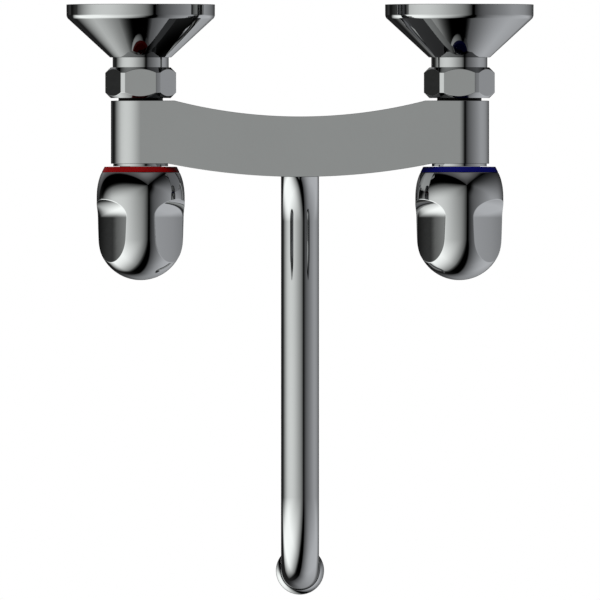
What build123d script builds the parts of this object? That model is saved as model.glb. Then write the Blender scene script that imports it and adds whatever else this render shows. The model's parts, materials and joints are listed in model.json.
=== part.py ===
from build123d import *
from math import acos, cos, radians, sin, sqrt, tan
import os

# A wall-mounted kitchen faucet with two handles and a swivel spout. Millimetres.
# The origin is on the wall, midway between the inlets and level with them. +X is right, +Z is up, and the
# faucet stands out from the wall towards -Y. A "depth" is a distance from the wall, so it is minus Y.

# Layout
inlet_spacing = 150.0
spout_depth = 67.0
running_fit = 0.05
thread_fit = 0.04
assembly_fit = 0.15
face_film = 0.02

# Wall union: the tube on the wall's pipe
union_radius = 13.22
union_back_gap = 1.0
union_bore_radius = 8.0
union_end_chamfer = 0.6
wall_thread_radius = 9.32
wall_thread_length = 12.0

# Escutcheon: the flared wall flange
flange_radius = 35.0
flange_rim_depth = 6.1
flange_depth = 25.0
flange_wall = 1.0
flange_rim_fillet = 1.3
flange_sleeve_length = 6.0

# Union nut, its gasket and the inlet nipple
collar_length = 4.6
nut_length = 14.5
nut_across_flats = 30.0
nut_corner_diameter = 33.4
nut_face_radius = 14.3
nut_thread_length = 7.4
gasket_thickness = 2.0
gasket_bore_radius = 8.2
nipple_flange_thickness = 2.4
nipple_flange_inset = 0.6
nipple_radius = 10.47
nipple_bore_radius = 6.0
nipple_key_across_flats = 12.0
nipple_key_length = 8.0
nipple_gap = 1.2
nipple_end_gap = 0.2

# Body
body_height = 28.06
body_length = 29.7
rear_bow = 7.5
rear_land_margin = 1.7
front_bow = 6.2
front_land_margin = 0.1
inlet_thread_length = 8.7
seat_wall = 3.0
seat_hole_radius = 6.0
chamber_radius = 10.5
channel_radius = 5.0
channel_depth = 64.0

# Valve insert, stacked from the seat towards the handle
seal_thickness = 1.6
seal_bore_radius = 5.6
disc_thickness = 3.0
disc_radius = 8.0
disc_inset = 0.2
port_radius = 4.4
port_width = 3.6
port_sweep = 56.0
bow_tie_half_angle = 38.0
bow_tie_root = 1.6
tab_width = 3.0
cage_wall = 1.25
window_width = 9.0
foot_thickness = 2.4
tongue_width = 2.4
tongue_height = 1.1
glide_thickness = 0.55
glide_gap = 0.05
spindle_radius = 4.9
rings_per_seal = 2
ring_wire_radius = 0.7
ring_groove_margin = 0.2
ring_pitch = 4.0
first_ring_from_shoulder = 4.2
bonnet_thread_length = 7.5
bonnet_neck_radius = 9.9
bonnet_flange_radius = 12.94
bonnet_flange_thickness = 1.2
bonnet_ring_wire_radius = 0.75
bonnet_hex_across_flats = 17.0
bonnet_hex_length = 7.8
clip_thickness = 0.8
clip_gap = 0.3
clip_groove_radius = 3.6
clip_radius = 6.4
clip_opening = 5.0

# Spline between the spindle and the handle
spline_teeth = 20
spline_tip_radius = 4.0
spline_root_radius = 3.6
spline_length = 13.0

# Index ring
ring_thickness = 2.6
ring_gap = 0.2
ring_back_radius = 17.05
ring_front_radius = 18.35
ring_bore_radius = 10.4
ring_spigot_wall = 1.4
ring_spigot_length = 3.0

# Handle
handle_length = 50.8
handle_radius = 20.75
handle_shoulder_length = 12.2
handle_knee_radius = 19.95
handle_knee_length = 4.5
handle_flare = 0.5
barrel_turn = 3.2
cavity_radius = 13.6
cavity_length = 14.0
hub_radius = 7.4
hub_length = 6.0
socket_end_gap = 0.6
scoop_count = 3
scoop_depth_from_axis = 16.3
scoop_crown_radius = 110.0
scoop_run_in_radius = 10.3
scoop_start = 21.3
scoop_edge_fillet = 0.35
screw_radius = 2.0
screw_length = 9.6
screw_key_across_flats = 2.0
screw_key_length = 2.5
screw_tip_radius = 1.1
screw_tip_length = 1.0
screw_from_cavity = 3.0
screw_groove_depth = 0.5

# Spout socket, nut and bearing
boss_radius = 12.0
boss_length = 10.0
socket_end_height = -10.0
spout_nut_across_flats = 27.0
spout_nut_corner_diameter = 30.6
spout_nut_length = 15.5
spout_nut_wall = 2.4
nut_edge_drop = 1.4
upper_washer_thickness = 0.8
retaining_ring_thickness = 1.5
retaining_ring_radius = 11.6
retaining_ring_opening = 4.0
retaining_groove_radius = 8.0
bearing_gap = 0.1
washer_radius = 11.9
washer_bore_fit = 0.075

# Spout
tube_radius = 9.0
tube_wall = 1.2
bend_radius = 35.0
spout_reach = 200.5
spout_drop = 66.0
tail_bore_radius = 5.8
tail_ring_wire_radius = 0.9
tail_ring_pitch = 5.0
first_tail_ring = 3.6
tail_shoulder_drop = 1.1
tail_spigot_length = 3.3
tail_top_gap = 0.6

# Spout tip and aerator
tip_radius = 11.45
tip_flare_radius = 3.7
tip_lip = 0.15
tip_start = 1.0
tip_length = 11.0
tube_end_length = 5.0
tip_ledge = 1.0
tip_thread_radius = 10.0
aerator_gasket_thickness = 1.2
aerator_gasket_bore_radius = 7.2
aerator_rim_radius = 11.2
aerator_rim_length = 4.0
aerator_rim_shoulder = 0.5
aerator_bore_radius = 8.7
aerator_lip_radius = 8.0
aerator_lip_length = 1.0
aerator_flat_across = 20.6
strainer_thickness = 0.8
strainer_hole_radius = 0.6
strainer_rings = 4
strainer_pitch = 1.88
strainer_holes_added = 6
insert_cell_across_flats = 1.9
insert_cell_pitch = 2.5
insert_cell_turn = 30.0
insert_rings = 3

# Depths of the faces that the pieces share, from the wall outwards
nut_back = flange_depth + collar_length
union_end = nut_back + nut_thread_length
nipple_flange_back = union_end + gasket_thickness
nut_shoulder = nipple_flange_back + nipple_flange_thickness
nut_front = nut_back + nut_length
body_back = nut_front + nipple_gap
body_front = body_back + body_length
seat_back = body_back + inlet_thread_length
seat_face = seat_back + seat_wall
fixed_disc_back = seat_face + seal_thickness
disc_meeting = fixed_disc_back + disc_thickness
foot_back = disc_meeting + face_film + disc_thickness
foot_front = foot_back + foot_thickness
glide_back = foot_front + glide_gap
bonnet_shoulder = glide_back + glide_thickness
bonnet_flange_front = body_front + bonnet_flange_thickness
ring_seat = body_front - 2 * bonnet_ring_wire_radius
bonnet_front = bonnet_flange_front + bonnet_hex_length
clip_back = bonnet_front + clip_gap
clip_front = clip_back + clip_thickness
ring_back = bonnet_flange_front + ring_gap
handle_back = ring_back + ring_thickness
cavity_end = handle_back + cavity_length
hub_back = cavity_end - hub_length
screw_depth = cavity_end + screw_from_cavity
spline_end = clip_front + spline_length

# Radii that follow from their neighbours
sleeve_radius = union_radius + assembly_fit
nut_bore_radius = union_radius + thread_fit
nipple_flange_radius = union_radius - nipple_flange_inset
cage_bore_radius = disc_radius + running_fit
cage_radius = cage_bore_radius + cage_wall
moving_disc_radius = disc_radius - disc_inset
bonnet_thread_radius = chamber_radius - thread_fit
bonnet_bore_radius = spindle_radius + running_fit
ring_groove_radius = spindle_radius - 2 * ring_wire_radius
tail_groove_radius = tube_radius - 2 * tail_ring_wire_radius
tip_bore_radius = tip_thread_radius + thread_fit
tube_bore_radius = tube_radius - tube_wall
tube_seat_radius = tube_radius + running_fit
body_end = inlet_spacing / 2 + body_height / 2
rear_bow_half_width = inlet_spacing / 2 - nut_face_radius - rear_land_margin
front_bow_half_width = inlet_spacing / 2 - bonnet_flange_radius - front_land_margin

# Heights of the spout's faces, from the inlets' level downwards
boss_end = -(body_height / 2 + boss_length)
upper_washer_end = boss_end - upper_washer_thickness
retaining_top = upper_washer_end - bearing_gap
retaining_end = retaining_top - retaining_ring_thickness
lower_washer_top = retaining_end - bearing_gap
spout_nut_top = -(body_height / 2 + nut_edge_drop)
spout_nut_end = spout_nut_top - spout_nut_length
spout_nut_floor = spout_nut_end + spout_nut_wall
tube_top = retaining_end - tail_shoulder_drop
outlet_depth = spout_depth + spout_reach
outlet_bend_end = -(spout_drop + bend_radius)
tube_end = outlet_bend_end - tube_end_length
tip_top = outlet_bend_end - tip_start
tip_end = tip_top - tip_length
tip_gasket_top = tube_end - tip_ledge
aerator_top = tip_gasket_top - aerator_gasket_thickness
aerator_end = tip_end - aerator_rim_length
strainer_bottom = aerator_top - strainer_thickness


def valve_axis(x):
    """The line through one inlet, its valve and its handle, pointing at the user."""
    return Axis((x, 0, 0), (0, -1, 0))


def valve_section(x, angle=90):
    """Half-section plane of one inlet, turned by an angle from straight up towards +X.
    Local x is the radius and local y is the depth."""
    up, across = cos(radians(angle)), sin(radians(angle))
    return Plane(origin=(x, 0, 0), x_dir=(across, 0, up), z_dir=(up, 0, -across))


def valve_face(x, depth):
    """Plane across one inlet's axis, facing the user: local x is +X and local y is +Z."""
    return Plane(origin=(x, -depth, 0), x_dir=(1, 0, 0), z_dir=(0, -1, 0))


def downward_face(x, depth, height):
    """Level plane under one valve's axis, facing down."""
    return Plane(origin=(x, -depth, height), x_dir=(1, 0, 0), z_dir=(0, 0, -1))


def upright_axis(depth):
    """A vertical line in the middle of the faucet."""
    return Axis((0, -depth, 0), (0, 0, 1))


def upright_section(depth):
    """Half-section plane of a vertical axis: local x is the radius and local y is the height."""
    return Plane(origin=(0, -depth, 0), x_dir=(1, 0, 0), z_dir=(0, -1, 0))


def upright_face(depth, height):
    """Level plane at a height, centred on a vertical axis and facing up."""
    return Plane(origin=(0, -depth, height), x_dir=(1, 0, 0), z_dir=(0, 0, 1))


def band(inner, outer, start, end, mode=Mode.ADD):
    """A rectangle of a half-section, between two radii and two places along the axis."""
    with Locations(((inner + outer) / 2, (start + end) / 2)):
        Rectangle(outer - inner, abs(end - start), mode=mode)


def star(tip, root, teeth):
    """The corners of a fine spline's outline."""
    half_pitch = 180 / teeth
    corners = []
    for i in range(teeth):
        for radius, turn in ((tip, 2 * i), (root, 2 * i + 1)):
            angle = radians(turn * half_pitch)
            corners.append((radius * cos(angle), radius * sin(angle)))
    return corners


def write(piece, name):
    """Name a finished piece and write it to its file."""
    piece.label = name
    export_step(piece, f"parts/{name}.step")


def make_escutcheon(x):
    with BuildPart() as escutcheon:
        slope = (flange_radius - sleeve_radius - flange_wall) / (flange_depth - flange_rim_depth)
        across = flange_wall * sqrt(1 + slope**2)
        inner_rim = flange_radius - flange_wall
        sleeve_outer = sleeve_radius + flange_wall
        rim_inside = flange_rim_depth + (flange_wall - across) / slope
        sleeve_inside = flange_rim_depth + (flange_radius - across - sleeve_outer) / slope
        with BuildSketch(valve_section(x)):
            with BuildLine():
                Polyline(
                    (flange_radius, 0),
                    (flange_radius, flange_rim_depth),
                    (sleeve_outer, flange_depth),
                    (sleeve_radius, flange_depth),
                    (sleeve_radius, flange_depth - flange_sleeve_length),
                    (sleeve_outer, flange_depth - flange_sleeve_length),
                    (sleeve_outer, sleeve_inside),
                    (inner_rim, rim_inside),
                    (inner_rim, 0),
                    close=True,
                )
            corners = make_face().vertices()
            rim_corner = corners.sort_by_distance((flange_radius, flange_rim_depth))[0]
            fillet(rim_corner, flange_rim_fillet)
        revolve(axis=valve_axis(x))
    return escutcheon.part


def make_wall_union(x):
    with BuildPart() as wall_union:
        with BuildSketch(valve_section(x)):
            band(union_bore_radius, union_radius, union_back_gap, union_end)
            band(0, wall_thread_radius, union_back_gap, union_back_gap + wall_thread_length, Mode.SUBTRACT)
        revolve(axis=valve_axis(x))
        rims = wall_union.edges().filter_by(GeomType.CIRCLE).group_by(SortBy.RADIUS)[-1]
        chamfer(rims, union_end_chamfer)
    return wall_union.part


def make_union_gasket(x):
    with BuildPart() as union_gasket:
        with BuildSketch(valve_section(x)):
            band(gasket_bore_radius, nipple_flange_radius, union_end, nipple_flange_back)
        revolve(axis=valve_axis(x))
    return union_gasket.part


def make_union_nut(x):
    corner_radius = nut_corner_diameter / 2
    bevel = corner_radius - nut_face_radius
    with BuildPart() as union_nut:
        with BuildSketch(valve_face(x, nut_back)):
            RegularPolygon(nut_across_flats / 2, 6, major_radius=False)
        extrude(amount=nut_length)
        with BuildSketch(valve_section(x)):
            with BuildLine():
                Polyline(
                    (0, nut_back),
                    (nut_face_radius, nut_back),
                    (corner_radius, nut_back + bevel),
                    (corner_radius, nut_front - bevel),
                    (nut_face_radius, nut_front),
                    (0, nut_front),
                    close=True,
                )
            make_face()
        revolve(axis=valve_axis(x), mode=Mode.INTERSECT)
        with BuildSketch(valve_section(x)):
            band(0, nut_bore_radius, nut_back, nut_shoulder)
            band(0, nipple_radius + assembly_fit, nut_shoulder, nut_front)
        revolve(axis=valve_axis(x), mode=Mode.SUBTRACT)
    return union_nut.part


def make_inlet_nipple(x):
    with BuildPart() as inlet_nipple:
        with BuildSketch(valve_section(x)):
            band(0, nipple_flange_radius, nipple_flange_back, nut_shoulder)
            band(0, nipple_radius, nut_shoulder, seat_back - nipple_end_gap)
            band(0, nipple_bore_radius, nipple_flange_back, seat_back, Mode.SUBTRACT)
        revolve(axis=valve_axis(x))
        with BuildSketch(valve_face(x, nipple_flange_back)):
            RegularPolygon(nipple_key_across_flats / 2, 6, major_radius=False)
        extrude(amount=nipple_key_length, mode=Mode.SUBTRACT)
    return inlet_nipple.part


def make_body():
    half_height = body_height / 2
    with BuildPart() as body:
        # The bar's end view, a slot, runs from the back to the deepest point of the bow
        with BuildSketch(valve_face(0, body_back)):
            SlotCenterToCenter(inlet_spacing, body_height)
        extrude(amount=body_length + front_bow)
        # The plan bows towards the user in the middle, behind and in front
        with BuildSketch(Plane.XY.offset(-half_height)):
            with BuildLine():
                back_left = (-rear_bow_half_width, -body_back)
                back_right = (rear_bow_half_width, -body_back)
                front_left = (-front_bow_half_width, -body_front)
                front_right = (front_bow_half_width, -body_front)
                ThreePointArc(back_left, (0, -body_back - rear_bow), back_right)
                ThreePointArc(front_left, (0, -body_front - front_bow), front_right)
                Polyline(back_left, (-body_end, -body_back), (-body_end, -body_front), front_left)
                Polyline(back_right, (body_end, -body_back), (body_end, -body_front), front_right)
            make_face()
        extrude(amount=body_height, mode=Mode.INTERSECT)
        with BuildSketch(upright_section(spout_depth)):
            band(0, boss_radius, boss_end, 0)
        revolve(axis=upright_axis(spout_depth))
        # Inlet thread, valve seat, valve chamber and the groove for the bonnet's sealing ring
        for x in (-inlet_spacing / 2, inlet_spacing / 2):
            with BuildSketch(valve_section(x)):
                band(0, nipple_radius + thread_fit, body_back, seat_back)
                band(0, seat_hole_radius, seat_back, seat_face)
                band(0, chamber_radius, seat_face, body_front)
                band(0, bonnet_neck_radius + 2 * bonnet_ring_wire_radius, ring_seat, body_front)
            revolve(axis=valve_axis(x), mode=Mode.SUBTRACT)
        # The channel that mixes the water from both valves, and the spout's socket below it
        with BuildSketch(Plane.YZ.offset(-inlet_spacing / 2)):
            with Locations((-channel_depth, 0)):
                Circle(channel_radius)
        extrude(amount=inlet_spacing, mode=Mode.SUBTRACT)
        with BuildSketch(upright_section(spout_depth)):
            band(0, tube_radius + running_fit, boss_end, socket_end_height)
            band(0, tube_bore_radius, socket_end_height, 0)
        revolve(axis=upright_axis(spout_depth), mode=Mode.SUBTRACT)
    return body.part


def make_seat_seal(x):
    with BuildPart() as seat_seal:
        with BuildSketch(valve_section(x)):
            band(seal_bore_radius, cage_radius, seat_face, fixed_disc_back)
        revolve(axis=valve_axis(x))
    return seat_seal.part


def make_fixed_disc(x):
    arc = CenterArc((0, 0), port_radius, 90 - port_sweep / 2, port_sweep, mode=Mode.PRIVATE)
    with BuildPart() as fixed_disc:
        with BuildSketch(valve_face(x, fixed_disc_back)):
            Circle(disc_radius)
            Rectangle(2 * cage_radius, tab_width)
            with PolarLocations(0, 2):
                SlotArc(arc, port_width, mode=Mode.SUBTRACT)
        extrude(amount=disc_thickness)
    return fixed_disc.part


def make_rotating_disc(x):
    reach = 2 * disc_radius
    half_mouth = (reach - bow_tie_root) * tan(radians(bow_tie_half_angle))
    bow_tie = [(bow_tie_root, 0), (reach, -half_mouth), (reach, half_mouth)]
    with BuildPart() as rotating_disc:
        with BuildSketch(valve_face(x, disc_meeting + face_film)):
            Circle(moving_disc_radius)
            with PolarLocations(0, 2):
                Polygon(*bow_tie, align=None, mode=Mode.SUBTRACT)
        extrude(amount=disc_thickness)
        with BuildSketch(valve_face(x, foot_back - tongue_height - face_film)):
            Rectangle(tongue_width + 2 * running_fit, 2 * disc_radius)
        extrude(amount=tongue_height + face_film, mode=Mode.SUBTRACT)
    return rotating_disc.part


def make_glide_washer(x):
    with BuildPart() as glide_washer:
        with BuildSketch(valve_section(x)):
            band(bonnet_bore_radius + running_fit, disc_radius, glide_back, bonnet_shoulder)
        revolve(axis=valve_axis(x))
    return glide_washer.part


def spindle_ring_depths():
    """Depths of the spindle's two sealing rings."""
    first = bonnet_shoulder + first_ring_from_shoulder
    return [first + i * ring_pitch for i in range(rings_per_seal)]


def make_valve_spindle(x):
    with BuildPart() as valve_spindle:
        with BuildSketch(valve_section(x)):
            band(0, moving_disc_radius, foot_back, foot_front)
            band(0, spindle_radius, foot_front, clip_front)
            for depth in spindle_ring_depths():
                half = ring_wire_radius + ring_groove_margin
                band(ring_groove_radius, spindle_radius, depth - half, depth + half, Mode.SUBTRACT)
            band(clip_groove_radius, spindle_radius, clip_back, clip_front, Mode.SUBTRACT)
        revolve(axis=valve_axis(x))
        with BuildSketch(valve_face(x, foot_back - tongue_height)):
            Rectangle(tongue_width, 2 * moving_disc_radius)
            Circle(moving_disc_radius, mode=Mode.INTERSECT)
        extrude(amount=tongue_height)
        with BuildSketch(valve_face(x, clip_front)):
            Polygon(*star(spline_tip_radius, spline_root_radius, spline_teeth), align=None)
        extrude(amount=spline_length)
        # The groove that the handle's set screw bites in
        with BuildSketch(valve_section(x)):
            start = screw_depth - screw_tip_radius - running_fit
            end = screw_depth + screw_tip_radius + running_fit
            band(spline_root_radius - screw_groove_depth, spline_tip_radius, start, end)
        revolve(axis=valve_axis(x), mode=Mode.SUBTRACT)
    return valve_spindle.part


def make_spindle_o_rings(x):
    centre_radius = spindle_radius - ring_wire_radius
    with BuildPart() as spindle_o_rings:
        with BuildSketch(valve_section(x)):
            with Locations(*[(centre_radius, depth) for depth in spindle_ring_depths()]):
                Circle(ring_wire_radius)
        revolve(axis=valve_axis(x))
    return spindle_o_rings.part


def make_spindle_clip(x):
    with BuildPart() as spindle_clip:
        with BuildSketch(valve_face(x, clip_back)):
            Circle(clip_radius)
            Circle(clip_groove_radius + running_fit, mode=Mode.SUBTRACT)
            with Locations((0, -clip_radius / 2)):
                Rectangle(clip_opening, clip_radius, mode=Mode.SUBTRACT)
        extrude(amount=clip_thickness)
    return spindle_clip.part


def make_valve_bonnet(x):
    past_cage = 4 * disc_radius
    with BuildPart() as valve_bonnet:
        with BuildSketch(valve_section(x)):
            band(0, cage_radius, fixed_disc_back, ring_seat)
            band(0, bonnet_thread_radius, body_front - bonnet_thread_length, ring_seat)
            band(0, bonnet_neck_radius, ring_seat, body_front)
            band(0, bonnet_flange_radius, body_front, bonnet_flange_front)
        revolve(axis=valve_axis(x))
        with BuildSketch(valve_face(x, bonnet_flange_front)):
            RegularPolygon(bonnet_hex_across_flats / 2, 6, major_radius=False)
        extrude(amount=bonnet_hex_length)
        with BuildSketch(valve_section(x)):
            band(0, cage_bore_radius, fixed_disc_back, bonnet_shoulder)
            band(0, bonnet_bore_radius, bonnet_shoulder, bonnet_front)
        revolve(axis=valve_axis(x), mode=Mode.SUBTRACT)
        # Slots for the fixed disc's two tabs, open towards the seat
        with BuildSketch(valve_face(x, fixed_disc_back)):
            Rectangle(past_cage, tab_width + 2 * running_fit)
        extrude(amount=disc_thickness + running_fit, mode=Mode.SUBTRACT)
        # Windows over and under the rotating disc, where the water leaves
        with BuildSketch(valve_face(x, disc_meeting + running_fit)):
            Rectangle(window_width, past_cage)
        extrude(amount=disc_thickness, mode=Mode.SUBTRACT)
    return valve_bonnet.part


def make_bonnet_o_ring(x):
    with BuildPart() as bonnet_o_ring:
        with BuildSketch(valve_section(x)):
            with Locations((bonnet_neck_radius + bonnet_ring_wire_radius, (ring_seat + body_front) / 2)):
                Circle(bonnet_ring_wire_radius)
        revolve(axis=valve_axis(x))
    return bonnet_o_ring.part


def make_index_ring(x):
    spigot_radius = cavity_radius - running_fit
    spigot_bore_radius = spigot_radius - ring_spigot_wall
    spigot_end = handle_back + ring_spigot_length
    with BuildPart() as index_ring:
        with BuildSketch(valve_section(x)):
            with BuildLine():
                Polyline(
                    (ring_bore_radius, ring_back),
                    (ring_back_radius, ring_back),
                    (ring_front_radius, handle_back),
                    (ring_bore_radius, handle_back),
                    close=True,
                )
            make_face()
            band(spigot_bore_radius, spigot_radius, handle_back, spigot_end)
        revolve(axis=valve_axis(x))
    return index_ring.part


def handle_outline():
    """Radius and centre of the handle's long barrel arc and of the round dome that carries it on."""
    turn = radians(barrel_turn)
    run = handle_length - handle_shoulder_length
    flat = 1 - cos(turn)
    spread = sin(turn) - (1 - sin(turn)) * flat / cos(turn)
    barrel = (run - (1 - sin(turn)) * handle_radius / cos(turn)) / spread
    dome = (handle_radius - barrel * flat) / cos(turn)
    return barrel, dome, handle_back + handle_length - dome


def make_handle(x):
    barrel, dome, dome_centre = handle_outline()
    shoulder = handle_back + handle_shoulder_length
    tip = handle_back + handle_length
    socket_end = spline_end + socket_end_gap
    floor_start = handle_back + scoop_start
    with BuildPart() as handle:
        with BuildSketch(valve_section(x)):
            with BuildLine():
                Spline(
                    (ring_front_radius, handle_back),
                    (handle_knee_radius, handle_back + handle_knee_length),
                    (handle_radius, shoulder),
                    tangents=((handle_flare, 1), (0, 1)),
                )
                CenterArc((handle_radius - barrel, shoulder), barrel, 0, barrel_turn)
                CenterArc((0, dome_centre), dome, barrel_turn, 90 - barrel_turn)
                Polyline((0, tip), (0, handle_back), (ring_front_radius, handle_back))
            make_face()
        revolve(axis=valve_axis(x))
        # Finger scoops: a crowned floor with a round run-in, open towards the dome
        crown_centre = scoop_depth_from_axis - scoop_crown_radius
        outer = scoop_depth_from_axis + scoop_run_in_radius
        past_tip = tip + handle_length - scoop_start
        for i in range(scoop_count):
            angle = 180 + i * 360 / scoop_count
            with BuildSketch(valve_section(x, angle)):
                with BuildLine():
                    Polyline(
                        (scoop_depth_from_axis, floor_start),
                        (scoop_depth_from_axis, past_tip),
                        (outer, past_tip),
                        (outer, floor_start - scoop_run_in_radius),
                    )
                    CenterArc((outer, floor_start), scoop_run_in_radius, 180, 90)
                make_face()
            crown_origin = valve_section(x, angle).from_local_coords((crown_centre, 0))
            revolve(axis=Axis(crown_origin, (0, -1, 0)), mode=Mode.SUBTRACT)
            fillet(handle.edges(Select.LAST), scoop_edge_fillet)
        # Cavity behind, with the hub left standing in it, and the blind spline socket in the hub
        with BuildSketch(valve_section(x)):
            band(0, cavity_radius, handle_back, cavity_end)
            band(0, hub_radius, hub_back, cavity_end, Mode.SUBTRACT)
        revolve(axis=valve_axis(x), mode=Mode.SUBTRACT)
        with BuildSketch(valve_face(x, hub_back)):
            tip_radius_in_hub = spline_tip_radius + running_fit
            root_radius_in_hub = spline_root_radius + running_fit
            Polygon(*star(tip_radius_in_hub, root_radius_in_hub, spline_teeth), align=None)
        extrude(amount=socket_end - hub_back, mode=Mode.SUBTRACT)
        # Tapped hole for the set screw, out through the lower scoop
        with BuildSketch(downward_face(x, screw_depth, 0)):
            Circle(screw_radius + thread_fit)
        extrude(amount=handle_radius, mode=Mode.SUBTRACT)
    return handle.part


def make_handle_screw(x):
    tip_start = spline_root_radius - screw_groove_depth + running_fit
    with BuildPart() as handle_screw:
        with BuildSketch(downward_face(x, screw_depth, -tip_start)):
            Circle(screw_tip_radius)
        extrude(amount=screw_tip_length)
        with BuildSketch(downward_face(x, screw_depth, -tip_start - screw_tip_length)):
            Circle(screw_radius)
        extrude(amount=screw_length - screw_tip_length)
        with BuildSketch(downward_face(x, screw_depth, -tip_start - screw_length + screw_key_length)):
            RegularPolygon(screw_key_across_flats / 2, 6, major_radius=False)
        extrude(amount=screw_key_length, mode=Mode.SUBTRACT)
    return handle_screw.part


def make_spout_nut():
    corner_radius = spout_nut_corner_diameter / 2
    face_radius = spout_nut_across_flats / 2
    bevel = corner_radius - face_radius
    with BuildPart() as spout_nut:
        with BuildSketch(upright_face(spout_depth, spout_nut_end)):
            RegularPolygon(spout_nut_across_flats / 2, 6, major_radius=False)
        extrude(amount=spout_nut_length)
        with BuildSketch(upright_section(spout_depth)):
            with BuildLine():
                Polyline(
                    (0, spout_nut_end),
                    (face_radius, spout_nut_end),
                    (corner_radius, spout_nut_end + bevel),
                    (corner_radius, spout_nut_top - bevel),
                    (face_radius, spout_nut_top),
                    (0, spout_nut_top),
                    close=True,
                )
            make_face()
        revolve(axis=upright_axis(spout_depth), mode=Mode.INTERSECT)
        with BuildSketch(upright_section(spout_depth)):
            band(0, boss_radius + thread_fit, spout_nut_floor, spout_nut_top)
            band(0, tube_radius + assembly_fit, spout_nut_end, spout_nut_floor)
        revolve(axis=upright_axis(spout_depth), mode=Mode.SUBTRACT)
    return spout_nut.part


def make_bearing_washer(top, bottom):
    with BuildPart() as washer:
        with BuildSketch(upright_section(spout_depth)):
            band(tube_radius + washer_bore_fit, washer_radius, bottom, top)
        revolve(axis=upright_axis(spout_depth))
    return washer.part


def make_spout_retaining_ring():
    with BuildPart() as retaining_ring:
        with BuildSketch(upright_face(spout_depth, retaining_end)):
            Circle(retaining_ring_radius)
            Circle(retaining_groove_radius + running_fit, mode=Mode.SUBTRACT)
            with Locations((0, retaining_ring_radius / 2)):
                Rectangle(retaining_ring_opening, retaining_ring_radius, mode=Mode.SUBTRACT)
        extrude(amount=retaining_ring_thickness)
    return retaining_ring.part


def tail_ring_heights():
    """Heights of the tailpiece's two sealing rings."""
    first = boss_end + first_tail_ring
    return [first + i * tail_ring_pitch for i in range(rings_per_seal)]


def make_spout_tailpiece():
    with BuildPart() as spout_tailpiece:
        with BuildSketch(upright_section(spout_depth)):
            band(tail_bore_radius, tube_radius, tube_top, socket_end_height - tail_top_gap)
            band(tail_bore_radius, tube_bore_radius - thread_fit, tube_top - tail_spigot_length, tube_top)
            for height in tail_ring_heights():
                half = tail_ring_wire_radius + ring_groove_margin
                band(tail_groove_radius, tube_radius, height - half, height + half, Mode.SUBTRACT)
            band(retaining_groove_radius, tube_radius, retaining_end, retaining_top, Mode.SUBTRACT)
        revolve(axis=upright_axis(spout_depth))
    return spout_tailpiece.part


def make_spout_o_rings():
    centre_radius = tube_radius - tail_ring_wire_radius
    with BuildPart() as spout_o_rings:
        with BuildSketch(upright_section(spout_depth)):
            with Locations(*[(centre_radius, height) for height in tail_ring_heights()]):
                Circle(tail_ring_wire_radius)
        revolve(axis=upright_axis(spout_depth))
    return spout_o_rings.part


def make_spout_tube():
    with BuildPart() as spout_tube:
        with BuildLine(Plane.YZ):
            FilletPolyline(
                (-spout_depth, tube_top),
                (-spout_depth, -spout_drop),
                (-outlet_depth, -spout_drop),
                (-outlet_depth, tube_end),
                radius=bend_radius,
            )
        with BuildSketch(upright_face(spout_depth, tube_top)):
            Circle(tube_radius)
            Circle(tube_bore_radius, mode=Mode.SUBTRACT)
        sweep()
    return spout_tube.part


def make_spout_tip():
    # The flare is a hollow arc that leaves a thin lip upright and opens to the tip's side
    start = tube_seat_radius + tip_lip
    opening = acos(1 - (tip_radius - start) / tip_flare_radius)
    flare_end = tip_top - tip_flare_radius * sin(opening)
    with BuildPart() as spout_tip:
        with BuildSketch(upright_section(outlet_depth)):
            with BuildLine():
                Line((tube_seat_radius, tip_top), (start, tip_top))
                ThreePointArc(
                    (start, tip_top),
                    (
                        start + tip_flare_radius * (1 - cos(opening / 2)),
                        tip_top - tip_flare_radius * sin(opening / 2),
                    ),
                    (tip_radius, flare_end),
                )
                Polyline(
                    (tip_radius, flare_end),
                    (tip_radius, tip_end),
                    (tube_seat_radius, tip_end),
                    (tube_seat_radius, tip_top),
                )
            make_face()
            band(tube_bore_radius, tube_seat_radius, tip_gasket_top, tube_end)
            band(0, tip_bore_radius, tip_end, tip_gasket_top, Mode.SUBTRACT)
        revolve(axis=upright_axis(outlet_depth))
    return spout_tip.part


def make_aerator_gasket():
    with BuildPart() as aerator_gasket:
        with BuildSketch(upright_section(outlet_depth)):
            band(aerator_gasket_bore_radius, tip_thread_radius, aerator_top, tip_gasket_top)
        revolve(axis=upright_axis(outlet_depth))
    return aerator_gasket.part


def make_aerator_housing():
    past_rim = 2 * aerator_rim_radius
    with BuildPart() as aerator_housing:
        with BuildSketch(upright_section(outlet_depth)):
            band(0, tip_thread_radius, tip_end, aerator_top)
            band(0, aerator_rim_radius, aerator_end, tip_end)
            band(0, aerator_bore_radius, aerator_end + aerator_lip_length, aerator_top, Mode.SUBTRACT)
            band(0, aerator_lip_radius, aerator_end, aerator_end + aerator_lip_length, Mode.SUBTRACT)
        revolve(axis=upright_axis(outlet_depth))
        # Two flats on the rim take a spanner
        with BuildSketch(upright_face(outlet_depth, aerator_end)):
            Circle(past_rim)
            Rectangle(2 * past_rim, aerator_flat_across, mode=Mode.SUBTRACT)
        extrude(amount=aerator_rim_length - aerator_rim_shoulder, mode=Mode.SUBTRACT)
    return aerator_housing.part


def make_aerator_strainer():
    with BuildPart() as aerator_strainer:
        with BuildSketch(upright_face(outlet_depth, strainer_bottom)):
            Circle(aerator_bore_radius - running_fit)
            Circle(strainer_hole_radius, mode=Mode.SUBTRACT)
            for ring in range(1, strainer_rings + 1):
                with PolarLocations(ring * strainer_pitch, ring * strainer_holes_added):
                    Circle(strainer_hole_radius, mode=Mode.SUBTRACT)
        extrude(amount=strainer_thickness)
    return aerator_strainer.part


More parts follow.
